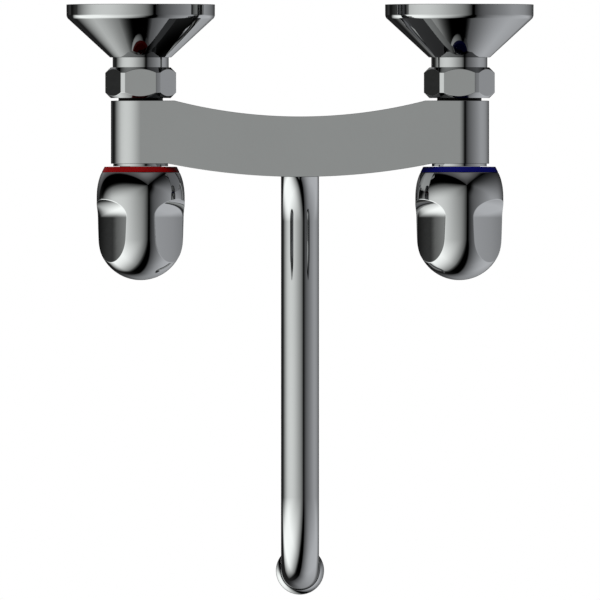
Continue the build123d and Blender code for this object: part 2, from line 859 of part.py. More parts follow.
def make_aerator_insert():
    cells = [
        (insert_cell_pitch * (column + row / 2), insert_cell_pitch * row * sin(radians(60)))
        for row in range(-insert_rings, insert_rings + 1)
        for column in range(-insert_rings, insert_rings + 1)
        if abs(column + row) <= insert_rings
    ]
    cell_radius = insert_cell_across_flats / 2
    insert_bottom = aerator_end + aerator_lip_length
    with BuildPart() as aerator_insert:
        with BuildSketch(upright_face(outlet_depth, insert_bottom)):
            Circle(aerator_bore_radius - running_fit)
            with BuildSketch(mode=Mode.SUBTRACT):
                with Locations(*cells):
                    RegularPolygon(cell_radius, 6, major_radius=False, rotation=insert_cell_turn)
        extrude(amount=strainer_bottom - insert_bottom)
    return aerator_insert.part


valve_pieces = {
    "escutcheon": make_escutcheon,
    "wall_union": make_wall_union,
    "union_gasket": make_union_gasket,
    "union_nut": make_union_nut,
    "inlet_nipple": make_inlet_nipple,
    "seat_seal": make_seat_seal,
    "fixed_disc": make_fixed_disc,
    "rotating_disc": make_rotating_disc,
    "glide_washer": make_glide_washer,
    "valve_spindle": make_valve_spindle,
    "spindle_o_rings": make_spindle_o_rings,
    "spindle_clip": make_spindle_clip,
    "valve_bonnet": make_valve_bonnet,
    "bonnet_o_ring": make_bonnet_o_ring,
    "index_ring": make_index_ring,
    "handle": make_handle,
    "handle_screw": make_handle_screw,
}

os.makedirs("parts", exist_ok=True)
for side, x in (("hot", -inlet_spacing / 2), ("cold", inlet_spacing / 2)):
    for piece_name, make in valve_pieces.items():
        write(make(x), f"{side}_{piece_name}")

write(make_body(), "body")
write(make_spout_nut(), "spout_nut")
write(make_bearing_washer(boss_end, upper_washer_end), "upper_washer")
write(make_bearing_washer(lower_washer_top, spout_nut_floor), "lower_washer")
write(make_spout_retaining_ring(), "spout_retaining_ring")
write(make_spout_tailpiece(), "spout_tailpiece")
write(make_spout_o_rings(), "spout_o_rings")
write(make_spout_tube(), "spout_tube")
write(make_spout_tip(), "spout_tip")
write(make_aerator_gasket(), "aerator_gasket")
write(make_aerator_strainer(), "aerator_strainer")
write(make_aerator_insert(), "aerator_insert")
write(make_aerator_housing(), "aerator_housing")
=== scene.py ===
import json
import math

import bpy
import numpy as np
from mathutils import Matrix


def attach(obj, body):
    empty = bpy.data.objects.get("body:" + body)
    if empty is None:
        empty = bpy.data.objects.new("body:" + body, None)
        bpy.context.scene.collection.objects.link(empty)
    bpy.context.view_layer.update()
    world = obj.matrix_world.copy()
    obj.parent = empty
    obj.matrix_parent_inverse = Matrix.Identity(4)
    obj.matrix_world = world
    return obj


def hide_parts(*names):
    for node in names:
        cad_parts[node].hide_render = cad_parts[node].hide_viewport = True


# A wall-mounted kitchen faucet seen from straight above, on white. The shapes are written in millimetres
# and their meshes made in metres. Materials, floor and camera are in metres. "Depth" is the distance from
# the wall, minus Y.

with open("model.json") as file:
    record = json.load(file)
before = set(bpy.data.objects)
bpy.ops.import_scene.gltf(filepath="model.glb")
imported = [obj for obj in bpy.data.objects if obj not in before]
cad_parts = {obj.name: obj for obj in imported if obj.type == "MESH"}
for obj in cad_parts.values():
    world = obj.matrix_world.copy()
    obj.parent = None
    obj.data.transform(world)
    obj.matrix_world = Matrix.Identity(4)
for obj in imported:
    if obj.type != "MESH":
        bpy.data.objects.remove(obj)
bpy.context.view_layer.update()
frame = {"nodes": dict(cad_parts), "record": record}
nodes = frame["nodes"]

MM = 0.001
INLET = 75.0
SPOUT_DEPTH = 67.0
OUTLET_DEPTH = 267.5
HANDLE_BACK = 79.0
HANDLE_BACK_RADIUS = 18.35
HANDLE_RADIUS = 20.75


# Meshes from grids of points, with exact normals

def unit(v):
    return v / np.maximum(np.linalg.norm(v, axis=-1, keepdims=True), 1e-12)


def full_turn(segments):
    return np.arange(segments) * 2 * math.pi / segments


def mesh_from_rows(name, rows, normals, closed=False):
    """A mesh from rows of points that run round a loop, with a normal for each point. Closed joins the
    last row to the first. A last row of one point is a pole."""
    starts = np.cumsum([0] + [len(row) for row in rows])
    coords, dirs = np.concatenate(rows), unit(np.concatenate(normals))
    faces = []
    for i in range(len(rows) if closed else len(rows) - 1):
        j = (i + 1) % len(rows)
        a, b, n = starts[i], starts[j], len(rows[i])
        k = np.arange(n)
        k1 = (k + 1) % n
        if len(rows[j]) == 1:
            faces.append(np.stack([a + k, a + k1, np.full_like(k, b), np.full_like(k, -1)], 1))
        else:
            faces.append(np.stack([a + k, a + k1, b + k1, b + k], 1))
    faces = np.concatenate(faces)
    p = coords[faces[:, :3]]
    flat = np.cross(p[:, 1] - p[:, 0], p[:, 2] - p[:, 0])
    if (flat * dirs[faces[:, 0]]).sum() < 0:
        quads = faces[:, 3] >= 0
        faces[quads] = faces[quads][:, ::-1]
        faces[~quads, :3] = faces[~quads, :3][:, ::-1]
    sizes = np.where(faces[:, 3] >= 0, 4, 3)
    loops = faces[faces >= 0]
    mesh = bpy.data.meshes.new(name)
    mesh.vertices.add(len(coords))
    mesh.vertices.foreach_set("co", (coords * MM).astype(np.float32).ravel())
    mesh.loops.add(len(loops))
    mesh.loops.foreach_set("vertex_index", loops.astype(np.int32))
    mesh.polygons.add(len(faces))
    mesh.polygons.foreach_set("loop_start", np.concatenate([[0], np.cumsum(sizes)[:-1]]).astype(np.int32))
    mesh.polygons.foreach_set("use_smooth", np.ones(len(faces), bool))
    mesh.update(calc_edges=True)
    mesh.validate()
    mesh.normals_split_custom_set_from_vertices(dirs.astype(np.float32))
    return mesh


def straight(*corners):
    """Straight runs from each corner to the next."""
    return [[a, b] for a, b in zip(corners, corners[1:])]


def arc(centre, radius, angles):
    return np.stack([centre[0] + radius * np.cos(angles), centre[1] + radius * np.sin(angles)], 1)


def outline(runs, rounding, steps=5):
    """Joins runs of (radius, place) points into one profile with softly rounded corners. Rounding is how
    far from a corner the curve starts, as one number or one for each corner. Returns the profile's points
    and the normals on the right-hand side of the way it goes."""
    runs = [np.array(run, float) for run in runs]
    reaches = rounding if isinstance(rounding, list) else [rounding] * (len(runs) - 1)
    tiny, most = 1e-6, 0.45
    points, tangents = [], []
    for i, run in enumerate(runs):
        if len(run) > 2:
            along = unit(np.gradient(run, axis=0, edge_order=2))
        else:
            along = unit(np.repeat([run[1] - run[0]], 2, 0))
        spans = np.linalg.norm(run[1:] - run[:-1], axis=1)
        length = spans.sum()
        s = np.concatenate([[0], np.cumsum(spans)])
        first = reaches[i - 1] if i > 0 else 0
        last = reaches[i] if i < len(runs) - 1 else 0
        a, b = min(first, most * length), length - min(last, most * length)
        inside = s[(s > a + tiny) & (s < b - tiny)]
        where = np.concatenate([[a], inside, [b]])
        pts = np.stack([np.interp(where, s, run[:, k]) for k in (0, 1)], 1)
        if points:
            before, corner, after = points[-1][-1], run[0], pts[0]
            u = np.linspace(0, 1, steps + 2)[1:-1, None]
            points.append((1 - u) ** 2 * before + 2 * u * (1 - u) * corner + u**2 * after)
            tangents.append(unit(2 * (1 - u) * (corner - before) + 2 * u * (after - corner)))
        points.append(pts)
        tangents.append(unit(np.stack([np.interp(where, s, along[:, k]) for k in (0, 1)], 1)))
    points, tangents = np.concatenate(points), np.concatenate(tangents)
    return points, np.stack([tangents[:, 1], -tangents[:, 0]], 1)


class Axis:
    """A line that pieces are turned about: a point at place 0, its direction, and a direction across it, from
    which angles run."""

    def __init__(self, origin, along, across):
        self.origin = np.array(origin, float)
        self.along = np.array(along, float)
        self.u = np.array(across, float)
        self.v = np.cross(self.along, self.u)

    def turn(self, radial, along, angles):
        """Directions with a radial part and a part along the axis, each one number or one for each angle."""
        c, s = np.cos(angles)[..., None], np.sin(angles)[..., None]
        radial, along = np.asarray(radial, float)[..., None], np.asarray(along, float)[..., None]
        return radial * (c * self.u + s * self.v) + along * self.along

    def ring(self, radius, place, angles):
        """Points at a radius and a place, each one number or one for each angle."""
        return self.origin + self.turn(radius, place, angles)


# A valve in the middle: places are depths from the wall, and angles run from straight up
VALVE = Axis((0, 0, 0), (0, -1, 0), (0, 0, 1))


def upright(depth):
    """A vertical axis: places are heights."""
    return Axis((0, -depth, 0), (0, 0, 1), (1, 0, 0))


def turned(axis, runs, rounding, angles, outside):
    """Rows of points and normals for a profile whose outside is on one hand of the way it goes."""
    points, normals = outline(runs, rounding)
    if outside == "left":
        normals = -normals
    rows = [axis.ring(radius, place, angles) for radius, place in points]
    return rows, [axis.turn(radial, along, angles) for radial, along in normals]


def lathe(name, axis, runs, rounding, segments=192, closed=True, outside="left"):
    rows, dirs = turned(axis, runs, rounding, full_turn(segments), outside)
    return mesh_from_rows(name, rows, dirs, closed)


def piece(name, mesh, body, material, slot, *replaced, location=(0, 0, 0)):
    obj = bpy.data.objects.new(name, mesh)
    bpy.context.scene.collection.objects.link(obj)
    obj.location = location
    mesh.materials.append(material)
    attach(obj, body)
    if replaced:
        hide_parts(*replaced)


# Materials

class Nodes:
    """A short way to write a node tree."""

    def __init__(self, tree):
        self.tree = tree
        tree.nodes.clear()

    def add(self, kind, inputs=None, **settings):
        """Adds a node. An input that is a socket is linked, and any other is set."""
        node = self.tree.nodes.new(kind)
        for key, value in settings.items():
            setattr(node, key, value)
        for key, value in (inputs or {}).items():
            if isinstance(value, bpy.types.NodeSocket):
                self.tree.links.new(value, node.inputs[key])
            else:
                node.inputs[key].default_value = value
        return node

    def math(self, operation, *values, clamp=False):
        inputs = dict(enumerate(values))
        return self.add("ShaderNodeMath", inputs, operation=operation, use_clamp=clamp).outputs[0]

    def times(self, value, *others):
        for other in others:
            value = self.math("MULTIPLY", value, other)
        return value

    def fit(self, value, low, high, to_low=0.0, to_high=1.0, smooth=True):
        """A value that goes from to_low to to_high as another goes from low to high."""
        return self.add(
            "ShaderNodeMapRange",
            {"Value": value, "From Min": low, "From Max": high, "To Min": to_low, "To Max": to_high},
            interpolation_type="SMOOTHSTEP" if smooth else "LINEAR",
        ).outputs[0]

    def noise(self, vector, scale, detail, roughness=0.5):
        inputs = {"Vector": vector, "Scale": scale, "Detail": detail, "Roughness": roughness}
        return self.add("ShaderNodeTexNoise", inputs).outputs["Fac"]

    def stretched(self, vector, scale, rotation=(0, 0, 0)):
        inputs = {"Vector": vector, "Scale": scale, "Rotation": rotation}
        return self.add("ShaderNodeMapping", inputs).outputs[0]

    def colour(self, value, *stops):
        """A blend of two colours, each with its place."""
        ramp = self.add("ShaderNodeValToRGB", {"Fac": value})
        for element, (place, rgb) in zip(ramp.color_ramp.elements, stops):
            element.position = place
            element.color = (*rgb, 1)
        return ramp.outputs[0]

    def mix(self, share, one, other):
        return self.add("ShaderNodeMixShader", {0: share, 1: one, 2: other}).outputs[0]

    def surface(self, inputs, height, strength, distance):
        """The shader with its bump, and the output."""
        bump = self.add("ShaderNodeBump", {"Height": height, "Strength": strength, "Distance": distance})
        shader = self.add("ShaderNodeBsdfPrincipled", {**inputs, "Normal": bump.outputs[0]})
        self.add("ShaderNodeOutputMaterial", {"Surface": shader.outputs[0]})


def new_material(name):
    material = bpy.data.materials.new(name)
    material.use_nodes = True
    tree = Nodes(material.node_tree)
    return material, tree, tree.add("ShaderNodeTexCoord").outputs["Object"]


def chrome(name, tone, rough, waviness):
    """Polished chrome plate: a faint cloudy tone, wiped smears, hairline scratches and a trace of orange
    peel."""
    material, tree, place = new_material(name)
    deep_share, smear_rough, scratch_rough = 0.965, 0.02, 0.03
    peel_share, lump_share = 0.25, 0.75

    def streaks(stretch, rotation, detail, low, high, roughness=0.5):
        drawn_out = tree.stretched(place, stretch, rotation)
        return tree.fit(tree.noise(drawn_out, 1.0, detail, roughness), low, high)

    deep = tuple(c * deep_share for c in tone)
    cloud = tree.colour(tree.noise(place, 14.0, 4.0), (0.3, deep), (0.7, tone))
    smears = streaks((60, 22, 60), (0.2, 0.1, 0.7), 5.0, 0.48, 0.8, roughness=0.62)
    hairlines = streaks((3500, 60, 2600), (0.1, 0.3, 0.35), 2.0, 0.62, 0.78)
    crossing = streaks((90, 2800, 2200), (0.4, 0.1, -0.5), 2.0, 0.66, 0.8)
    scratches = tree.math("MAXIMUM", hairlines, crossing)
    marks = tree.math("ADD", tree.times(smears, smear_rough), tree.times(scratches, scratch_rough))
    peel, lumps = tree.noise(place, 240.0, 2.0), tree.noise(place, 42.0, 1.0)
    height = tree.math("ADD", tree.times(peel, peel_share), tree.times(lumps, lump_share))
    inputs = {"Base Color": cloud, "Metallic": 1.0, "Roughness": tree.math("ADD", marks, rough)}
    tree.surface(inputs, height, strength=waviness, distance=0.0004)
    return material


def plastic(name, deep, light, rough, gloss=0.5):
    """Moulded plastic: a slight mottle, a soft sheen that varies, and a fine moulded grain."""
    material, tree, place = new_material(name)
    mottle = tree.colour(tree.noise(place, 90.0, 4.0), (0.3, deep), (0.72, light))
    worn = tree.fit(tree.noise(place, 380.0, 3.0), 0.4, 0.75, rough, rough + 0.12)
    grain = tree.noise(place, 2600.0, 2.0)
    inputs = {"Base Color": mottle, "Roughness": worn, "Specular IOR Level": gloss}
    tree.surface(inputs, grain, strength=0.12, distance=0.00005)
    return material


def machined(name, deep, light, rough):
    """Turned or stamped metal: fine tool lines along one direction and cloudy tarnish."""
    material, tree, place = new_material(name)
    tarnish = tree.colour(tree.noise(place, 120.0, 5.0, 0.6), (0.32, deep), (0.7, light))
    lines = tree.noise(tree.stretched(place, (40, 3000, 40)), 1.0, 3.0)
    dulled = tree.fit(lines, 0.3, 0.7, rough, rough + 0.15)
    inputs = {"Base Color": tarnish, "Metallic": 1.0, "Roughness": dulled}
    tree.surface(inputs, lines, strength=0.15, distance=0.00003)
    return material


chrome_plate = chrome("chrome_plate", tone=(0.570, 0.575, 0.580), rough=0.012, waviness=0.06)
chrome_spun = chrome("chrome_spun", tone=(0.535, 0.540, 0.545), rough=0.018, waviness=0.05)
# Near-black metal for the inlet nipple: painted shade that stands in for the dark, shadowed gap between the
# union nut and the body
nipple_painted_shade = machined("painted_shade_metal", (0.003, 0.0028, 0.0028), (0.008, 0.007, 0.007), rough=0.3)

MATERIALS = {
    "chrome": chrome_plate,
    "brass": machined("turned_brass", (0.56, 0.39, 0.15), (0.72, 0.53, 0.24), rough=0.18),
    "steel": machined("stamped_steel", (0.46, 0.46, 0.47), (0.60, 0.60, 0.61), rough=0.2),
    "ceramic": plastic("grey_ceramic", (0.50, 0.50, 0.49), (0.60, 0.60, 0.58), rough=0.12),
    "rubber": plastic("black_rubber", (0.012, 0.012, 0.013), (0.024, 0.024, 0.026), rough=0.5, gloss=0.35),
    "white_plastic": plastic("white_acetal", (0.72, 0.72, 0.70), (0.80, 0.80, 0.78), rough=0.32),
    "red_plastic": plastic(
        "red_plastic", (0.108, 0.0008, 0.0011), (0.132, 0.0012, 0.0016), rough=0.2, gloss=0.02
    ),
    "blue_plastic": plastic(
        "blue_plastic", (0.0017, 0.0022, 0.056), (0.0023, 0.0030, 0.072), rough=0.2, gloss=0.02
    ),
}
for entry in frame["record"]["subparts"]:
    # The inlet nipple gets the near-black metal, which is painted shade for the gap it sits in
    material = nipple_painted_shade if "inlet_nipple" in entry["node"] else MATERIALS[entry["material_slot"]]
    for material_slot in nodes[entry["node"]].material_slots:
        material_slot.material = material


# The visible pieces

def make_escutcheon():
    """The flared wall flange, hollow behind, with a rolled rim and a short sleeve on the union."""
    bore, sleeve, inner, rim = 13.37, 14.37, 34.0, 35.0
    front, sleeve_end = 25, 19
    runs = straight(
        (bore, front), (sleeve, front), (34.4, 6.62), (34.96, 5.45), (rim, 0), (inner, 0),
        (inner, 5.6), (sleeve, 23.6), (sleeve, sleeve_end), (bore, sleeve_end), (bore, front),
    )
    return lathe("flange", VALVE, runs, [0.3, 0.45, 0.5, 0.2, 0.2, 0.5, 0.4, 0.2, 0.2], segments=256)


def make_union():
    """The chromed tube on the wall's pipe, with its threaded socket at the back."""
    radius, face, bore, back, front = 13.22, 12.62, 8.0, 1.0, 37
    runs = straight(
        (bore, 14.2), (bore, front), (face, front), (radius, 36.4), (radius, 1.6), (face, back),
        (10.6, back), (9.6, 1.9),
    )
    angles = full_turn(192)
    rows, dirs = turned(VALVE, runs, 0.15, angles, "left")
    # The helical thread, which fades out towards its end
    crest, pitch, depth, thread_end, fade_length = 9.25, 1.814, 0.55, 13.0, 1.2
    places = np.arange(1.95, thread_end, pitch / 16)
    grooves = []
    for place in places:
        phase = (place / pitch - angles / (2 * math.pi)) % 1.0
        fade = min(1.0, (thread_end - place) / fade_length)
        grooves.append(crest + depth * fade * (0.5 + 0.5 * np.cos(2 * math.pi * phase)))
    slopes = np.gradient(np.array(grooves), places, axis=0)
    for groove, place, slope in zip(grooves, places, slopes):
        rows.append(VALVE.ring(groove, place, angles))
        dirs.append(VALVE.turn(-1.0, slope, angles))
    rows.append(VALVE.ring(crest, thread_end, angles))
    dirs.append(VALVE.turn(-0.7, -0.7, angles))
    return mesh_from_rows("union", rows, dirs, closed=True)


def hexagon(across_flats, corner_radius):
    """A hexagon with flats square to the across direction and turned corners: for each point its polar
    angle, its radius and the angle of its normal."""
    per_flat, per_corner, soft, bevel = 14, 6, 0.12, 0.02
    flat = across_flats / 2
    half = math.sqrt(corner_radius**2 - flat**2)
    edge = math.atan2(half, flat)
    step = soft / corner_radius
    y = np.linspace(soft - half, half - soft, per_flat)
    corner = np.linspace(edge + step, math.pi / 3 - edge - step, per_corner)
    on_edge = [corner_radius - bevel]
    # One flat, the edge after it, the corner's arc, and the edge before the next flat
    angles = np.concatenate([np.arctan2(y, flat), [edge], corner, [math.pi / 3 - edge]])
    radius = np.concatenate([np.hypot(y, flat), on_edge, np.full(per_corner, corner_radius), on_edge])
    facing = np.concatenate([0 * y, [edge / 2], corner, [math.pi / 3 - edge / 2]])
    turns = np.repeat(np.arange(6) * math.pi / 3, len(angles))
    return np.tile(angles, 6) + turns, np.tile(radius, 6), np.tile(facing, 6) + turns


def make_nut(name, axis, across_flats, corner_radius, face_radius, start, end, bore, floor_bore, floor):
    """A hexagonal nut whose corners are turned off at 45 degrees at both ends, with soft edges. Its bore
    runs from the start to the floor, and the narrower floor_bore from there to the end."""
    angles, radius, facing = hexagon(across_flats, corner_radius)
    side = axis.turn(1.0, 0.0, facing)
    radial = axis.turn(1.0, 0.0, angles)
    inward = -radial
    front = axis.along * np.ones((len(angles), 1))
    back = -front
    cone_back, cone_front = unit(radial - axis.along), unit(radial + axis.along)
    soft, lip = 0.28, 0.22
    near, far = soft * 0.3, soft * 0.7
    edge_steps, lip_steps = (0.25, 0.5, 0.75), (0.33, 0.66)
    rows, dirs = [], []

    def row(r, t, n):
        rows.append(axis.ring(r, t, angles))
        dirs.append(n)

    def blend(a, b, w):
        return unit((1 - w) * a + w * b)

    corner = np.minimum(radius, face_radius)
    over = np.maximum(radius - face_radius, 0)
    reach = radius - near
    # Back face, from the bore outwards
    row(bore + lip, start, back)
    row(corner - soft, start, back)
    for w in edge_steps:
        row(corner - soft + far * w, start + near * w * w, blend(back, cone_back, w))
    row(corner - near, start + near, cone_back)
    # Chamfer to the side
    row(reach, start + near + over, cone_back)
    for w in edge_steps:
        out = reach + near * (1 - (1 - w) ** 2)
        row(out, start + near + over + far * w, blend(cone_back, side, w))
    row(radius, start + soft + over, side)
    # Side, and chamfer to the front face
    row(radius, end - soft - over, side)
    for w in edge_steps:
        row(radius - near * w * w, end - soft - over + far * w, blend(side, cone_front, w))
    row(reach, end - near - over, cone_front)
    row(corner - near, end - near, cone_front)
    for w in edge_steps:
        row(corner - near - far * w, end - near * (1 - w) ** 2, blend(cone_front, front, w))
    # Front face, and back through the bores
    row(corner - soft, end, front)
    row(floor_bore + lip, end, front)
    for w in lip_steps:
        row(floor_bore + lip * (1 - w), end - lip * w * w, blend(front, inward, w))
    row(floor_bore, end - lip, inward)
    row(floor_bore, floor, inward)
    row(bore, floor, inward)
    row(bore, start + lip, inward)
    for w in lip_steps:
        row(bore + lip * w * w, start + lip * (1 - w), blend(inward, back, w))
    return mesh_from_rows(name, rows, dirs, closed=True)


def make_body():
    """The bar between the valves: a slot-shaped end view, bowed at the back and the front in plan, with
    its spout boss."""
    half, soft = 14.03, 0.2
    # Each face's depth at the valves, the rise of its bow and the bow's half width
    back_bow, front_bow = (45.3, 7.5, 59.0), (75.0, 6.2, 61.96)

    def bow(x, start, rise, width):
        radius = (width**2 + rise**2) / (2 * rise)
        chord = radius - rise
        inside = np.sqrt(np.maximum(radius**2 - np.minimum(np.abs(x), width) ** 2, 0)) - chord
        depth = start + np.where(np.abs(x) < width, inside, 0)
        slope = np.where(np.abs(x) < width, -x / np.sqrt(np.maximum(radius**2 - x**2, 1)), 0)
        return depth, slope

    # Upper half of the outline, from the left end's tip to the right end's tip, denser where the bows end
    kinks = [-front_bow[2], -back_bow[2], back_bow[2], front_bow[2]]
    beside = [kink + step for kink in kinks for step in (-0.05, 0.05)]
    level = np.unique(np.concatenate([np.linspace(-INLET, INLET, 151), kinks, beside]))[1:-1]
    right = np.radians(np.linspace(0, 90, 49))
    left = right[::-1]
    x = np.concatenate([-INLET - half * np.sin(left), level, INLET + half * np.sin(right)])
    z = np.concatenate([half * np.cos(left), np.full(len(level), half), half * np.cos(right)])
    nx = np.concatenate([-np.sin(left), np.zeros(len(level)), np.sin(right)])
    nz = np.concatenate([np.cos(left), np.ones(len(level)), np.cos(right)])
    loop_x, loop_z = np.concatenate([x, x[-2:0:-1]]), np.concatenate([z, -z[-2:0:-1]])
    loop_nx, loop_nz = np.concatenate([nx, nx[-2:0:-1]]), np.concatenate([nz, -nz[-2:0:-1]])
    back, back_slope = bow(loop_x, *back_bow)
    front, front_slope = bow(loop_x, *front_bow)
    side = np.stack([loop_nx, 0 * loop_nx, loop_nz], 1)
    face_back = unit(np.stack([back_slope, np.ones_like(back_slope), 0 * back_slope], 1))
    face_front = unit(np.stack([-front_slope, -np.ones_like(front_slope), 0 * front_slope], 1))
    rows, dirs = [], []

    def row(inset, depth, n):
        rows.append(np.stack([loop_x - inset * loop_nx, -depth, loop_z - inset * loop_nz], 1))
        dirs.append(unit(n))

    # From the back face's soft edge along the side to the front face's
    turns = np.radians(np.linspace(0, 90, 7))
    for a in turns:
        inset, sink = soft * (1 - math.sin(a)), soft * (1 - math.cos(a))
        row(inset, back + sink, math.cos(a) * face_back + math.sin(a) * side)
    for share in (0.25, 0.5, 0.75):
        row(0, back + soft + (front - back - 2 * soft) * share, side)
    for a in turns[::-1]:
        inset, sink = soft * (1 - math.sin(a)), soft * (1 - math.cos(a))
        row(inset, front - sink, math.cos(a) * face_front + math.sin(a) * side)
    shell = mesh_from_rows("body_shell", rows, dirs)

    def face(name, bow_sizes, sign):
        """One face, in rows from its upper to its lower edge. Its sign is 1 in front and -1 behind."""
        levels, width = np.linspace(1, -1, 13), len(x)
        depth, slope = bow(x, *bow_sizes)
        pts = [np.stack([x - soft * nx, -depth, (z - soft * nz) * height], 1) for height in levels]
        n = unit(np.stack([-slope * sign, -np.ones_like(slope) * sign, 0 * slope], 1))
        quads = []
        for i in range(len(levels) - 1):
            for q in range(i * width, (i + 1) * width - 1):
                quads.append((q, q + 1, q + 1 + width, q + width)[::-sign])
        mesh = bpy.data.meshes.new(name)
        mesh.from_pydata((np.concatenate(pts) * MM).tolist(), [], quads)
        mesh.polygons.foreach_set("use_smooth", np.ones(len(quads), bool))
        mesh.normals_split_custom_set_from_vertices(np.tile(n, (len(levels), 1)).astype(np.float32))
        return mesh

    front_face, back_face = face("body_front", front_bow, 1), face("body_back", back_bow, -1)
    boss_runs = straight((12.0, -13.6), (12.0, -24.03), (9.05, -24.03), (9.05, -20.0))
    boss = lathe("boss", upright(SPOUT_DEPTH), boss_runs, 0.2, segments=160, closed=False)
    return shell, front_face, back_face, boss


def handle_radius(place):
    """Radius of the handle's turned shape at places measured from its back face, up to the barrel: two cubic
    curves that meet with one slope."""
    ridge, ridge_radius, ridge_slope = 4.5, 19.95, 0.2363
    back_slope, rest = 0.5, 7.7

    def curve(u, span, r0, slope0, r1, slope1):
        return (
            r0 * (2 * u**3 - 3 * u**2 + 1) + span * slope0 * (u**3 - 2 * u**2 + u)
            + r1 * (-2 * u**3 + 3 * u**2) + span * slope1 * (u**3 - u**2)
        )

    u = np.clip(place / ridge, 0, 1)
    w = np.clip((place - ridge) / rest, 0, 1)
    first = curve(u, ridge, HANDLE_BACK_RADIUS, back_slope, ridge_radius, ridge_slope)
    return np.where(place < ridge, first, curve(w, rest, ridge_radius, ridge_slope, HANDLE_RADIUS, 0))


def make_handle():
    """The knob: a flared shoulder, a long barrel, a round dome and three finger scoops with soft edges."""
    back, length, shoulder, turn = HANDLE_BACK, 50.8, 12.2, math.radians(3.2)
    # The barrel's arc leaves the shoulder along the axis and turns a little. The dome's arc goes on from
    # it and meets the axis at the handle's full length.
    flat = 1 - math.cos(turn)
    spread = math.sin(turn) - (1 - math.sin(turn)) * flat / math.cos(turn)
    barrel = (length - shoulder - (1 - math.sin(turn)) * HANDLE_RADIUS / math.cos(turn)) / spread
    dome = (HANDLE_RADIUS - barrel * flat) / math.cos(turn)
    # The turned profile as radius and depth, dense enough to show every soft edge
    p = np.linspace(0, shoulder, 61)
    low = np.stack([handle_radius(p), back + p], 1)
    middle = arc((HANDLE_RADIUS - barrel, back + shoulder), barrel, np.linspace(0, turn, 90)[1:])
    top = arc((0.0, back + length - dome), dome, np.linspace(turn, math.pi / 2, 150)[1:-1])
    profile = np.concatenate([low, middle, top])
    # The tapped hole for the set screw: rows and columns crowd at its edge
    hole, hole_radius, hole_mouth, hole_soft, hole_floor = 96.0, 2.05, 2.26, 0.22, 12.0
    rim = np.linspace(1.7, 2.3, 13)
    extra = hole + np.concatenate([-rim, np.linspace(-1.7, 1.7, 14), rim])
    depth = np.unique(np.round(np.concatenate([profile[:, 1], extra]), 4))
    beside = np.concatenate([np.linspace(6.8, 7.6, 13), np.linspace(7.6, 9.0, 13)])
    columns = np.concatenate([np.arange(0, 360, 0.5), 180 - beside, 180 + beside])
    angles = np.radians(np.unique(np.round(columns, 4)))
    # A soft edge takes the place of the profile's start
    edge = 0.3
    depth = depth[depth > back + edge]
    radius = np.interp(depth, profile[:, 1], profile[:, 0])
    # Each scoop's floor is part of a wide cylinder along the axis, and it curves out towards the back
    floor, crown, run_out, start, soft = 16.3, 110.0, 10.3, back + 21.3, 0.11
    centre, uncut = floor - crown, 1e3
    t = depth[:, None]
    rise = run_out - np.sqrt(np.maximum(run_out**2 - np.clip(start - t, 0, run_out) ** 2, 0))
    reach = crown + rise
    r = np.repeat(radius[:, None], len(angles), 1)
    for k in range(3):
        phi = angles[None, :] - math.radians(180 + 120 * k)
        scoop = centre * np.cos(phi) + np.sqrt(np.maximum(reach**2 - (centre * np.sin(phi)) ** 2, 0))
        scoop = np.where((np.cos(phi) > 0.3) & (t > start - run_out + 1e-6), scoop, uncut)
        h = np.clip(0.5 + 0.5 * (scoop - r) / soft, 0, 1)
        r = scoop * (1 - h) + r * h - soft * h * (1 - h)
    # The hole is in the lower scoop
    from_below = angles[None, :] - math.pi
    away = np.hypot(t - hole, r * np.sin(from_below))
    below = np.cos(from_below) > 0.5
    mouth = np.clip((hole_mouth - away) / hole_soft, 0, 1)
    r = np.where(below, r - hole_soft * mouth**2, r)
    r = np.where(below & (away < hole_radius), hole_floor, r)
    grid = np.array([VALVE.ring(row, place, angles) for row, place in zip(r, depth)])

    def tangent(ahead, behind):
        """Weighs a point's two sides by their lengths, so that uneven spacing doesn't bend the normals."""
        a = np.linalg.norm(ahead, axis=2, keepdims=True)
        b = np.linalg.norm(behind, axis=2, keepdims=True)
        return ahead / a * b + behind / b * a

    around = tangent(np.roll(grid, -1, 1) - grid, grid - np.roll(grid, 1, 1))
    along = np.gradient(grid, axis=0)
    along[1:-1] = tangent(grid[2:] - grid[1:-1], grid[1:-1] - grid[:-2])
    normals = unit(np.cross(along, around))
    if (normals[len(normals) // 2] * VALVE.turn(1.0, 0.0, angles)).sum() < 0:
        normals = -normals
    rows, dirs = list(grid), list(normals)
    # Back edge and back face, to the index ring's bore
    bore, face = 13.6, np.array([0, 1.0, 0])
    for w in (0.33, 0.66, 1.0):
        inset = edge * (1 - math.cos(w * math.pi / 2))
        place = back + edge * (1 - math.sin(w * math.pi / 2))
        rows.insert(0, VALVE.ring(HANDLE_BACK_RADIUS - inset, place, angles))
        dirs.insert(0, unit((1 - w) * normals[0] + w * face))
    rows.insert(0, VALVE.ring(bore, back, angles))
    dirs.insert(0, np.repeat(face[None, :], len(angles), 0))
    rows.append(VALVE.ring(0.0, back + length, np.zeros(1)))
    dirs.append(np.array([[0, -1.0, 0]]))
    return mesh_from_rows("handle", rows, dirs)


def make_index_ring():
    """The coloured ring behind the handle, a shallow cone with soft edges and a collar inside the handle."""
    bore, collar_bore, collar, back_radius = 10.4, 12.15, 13.55, 17.05
    back, collar_end = 76.4, 82.0
    runs = straight(
        (bore, back), (back_radius, back), (HANDLE_BACK_RADIUS, HANDLE_BACK), (collar, HANDLE_BACK),
        (collar, collar_end), (collar_bore, collar_end), (collar_bore, HANDLE_BACK), (bore, HANDLE_BACK),
        (bore, back),
    )
    return lathe("index_ring", VALVE, runs, 0.18, outside="right")


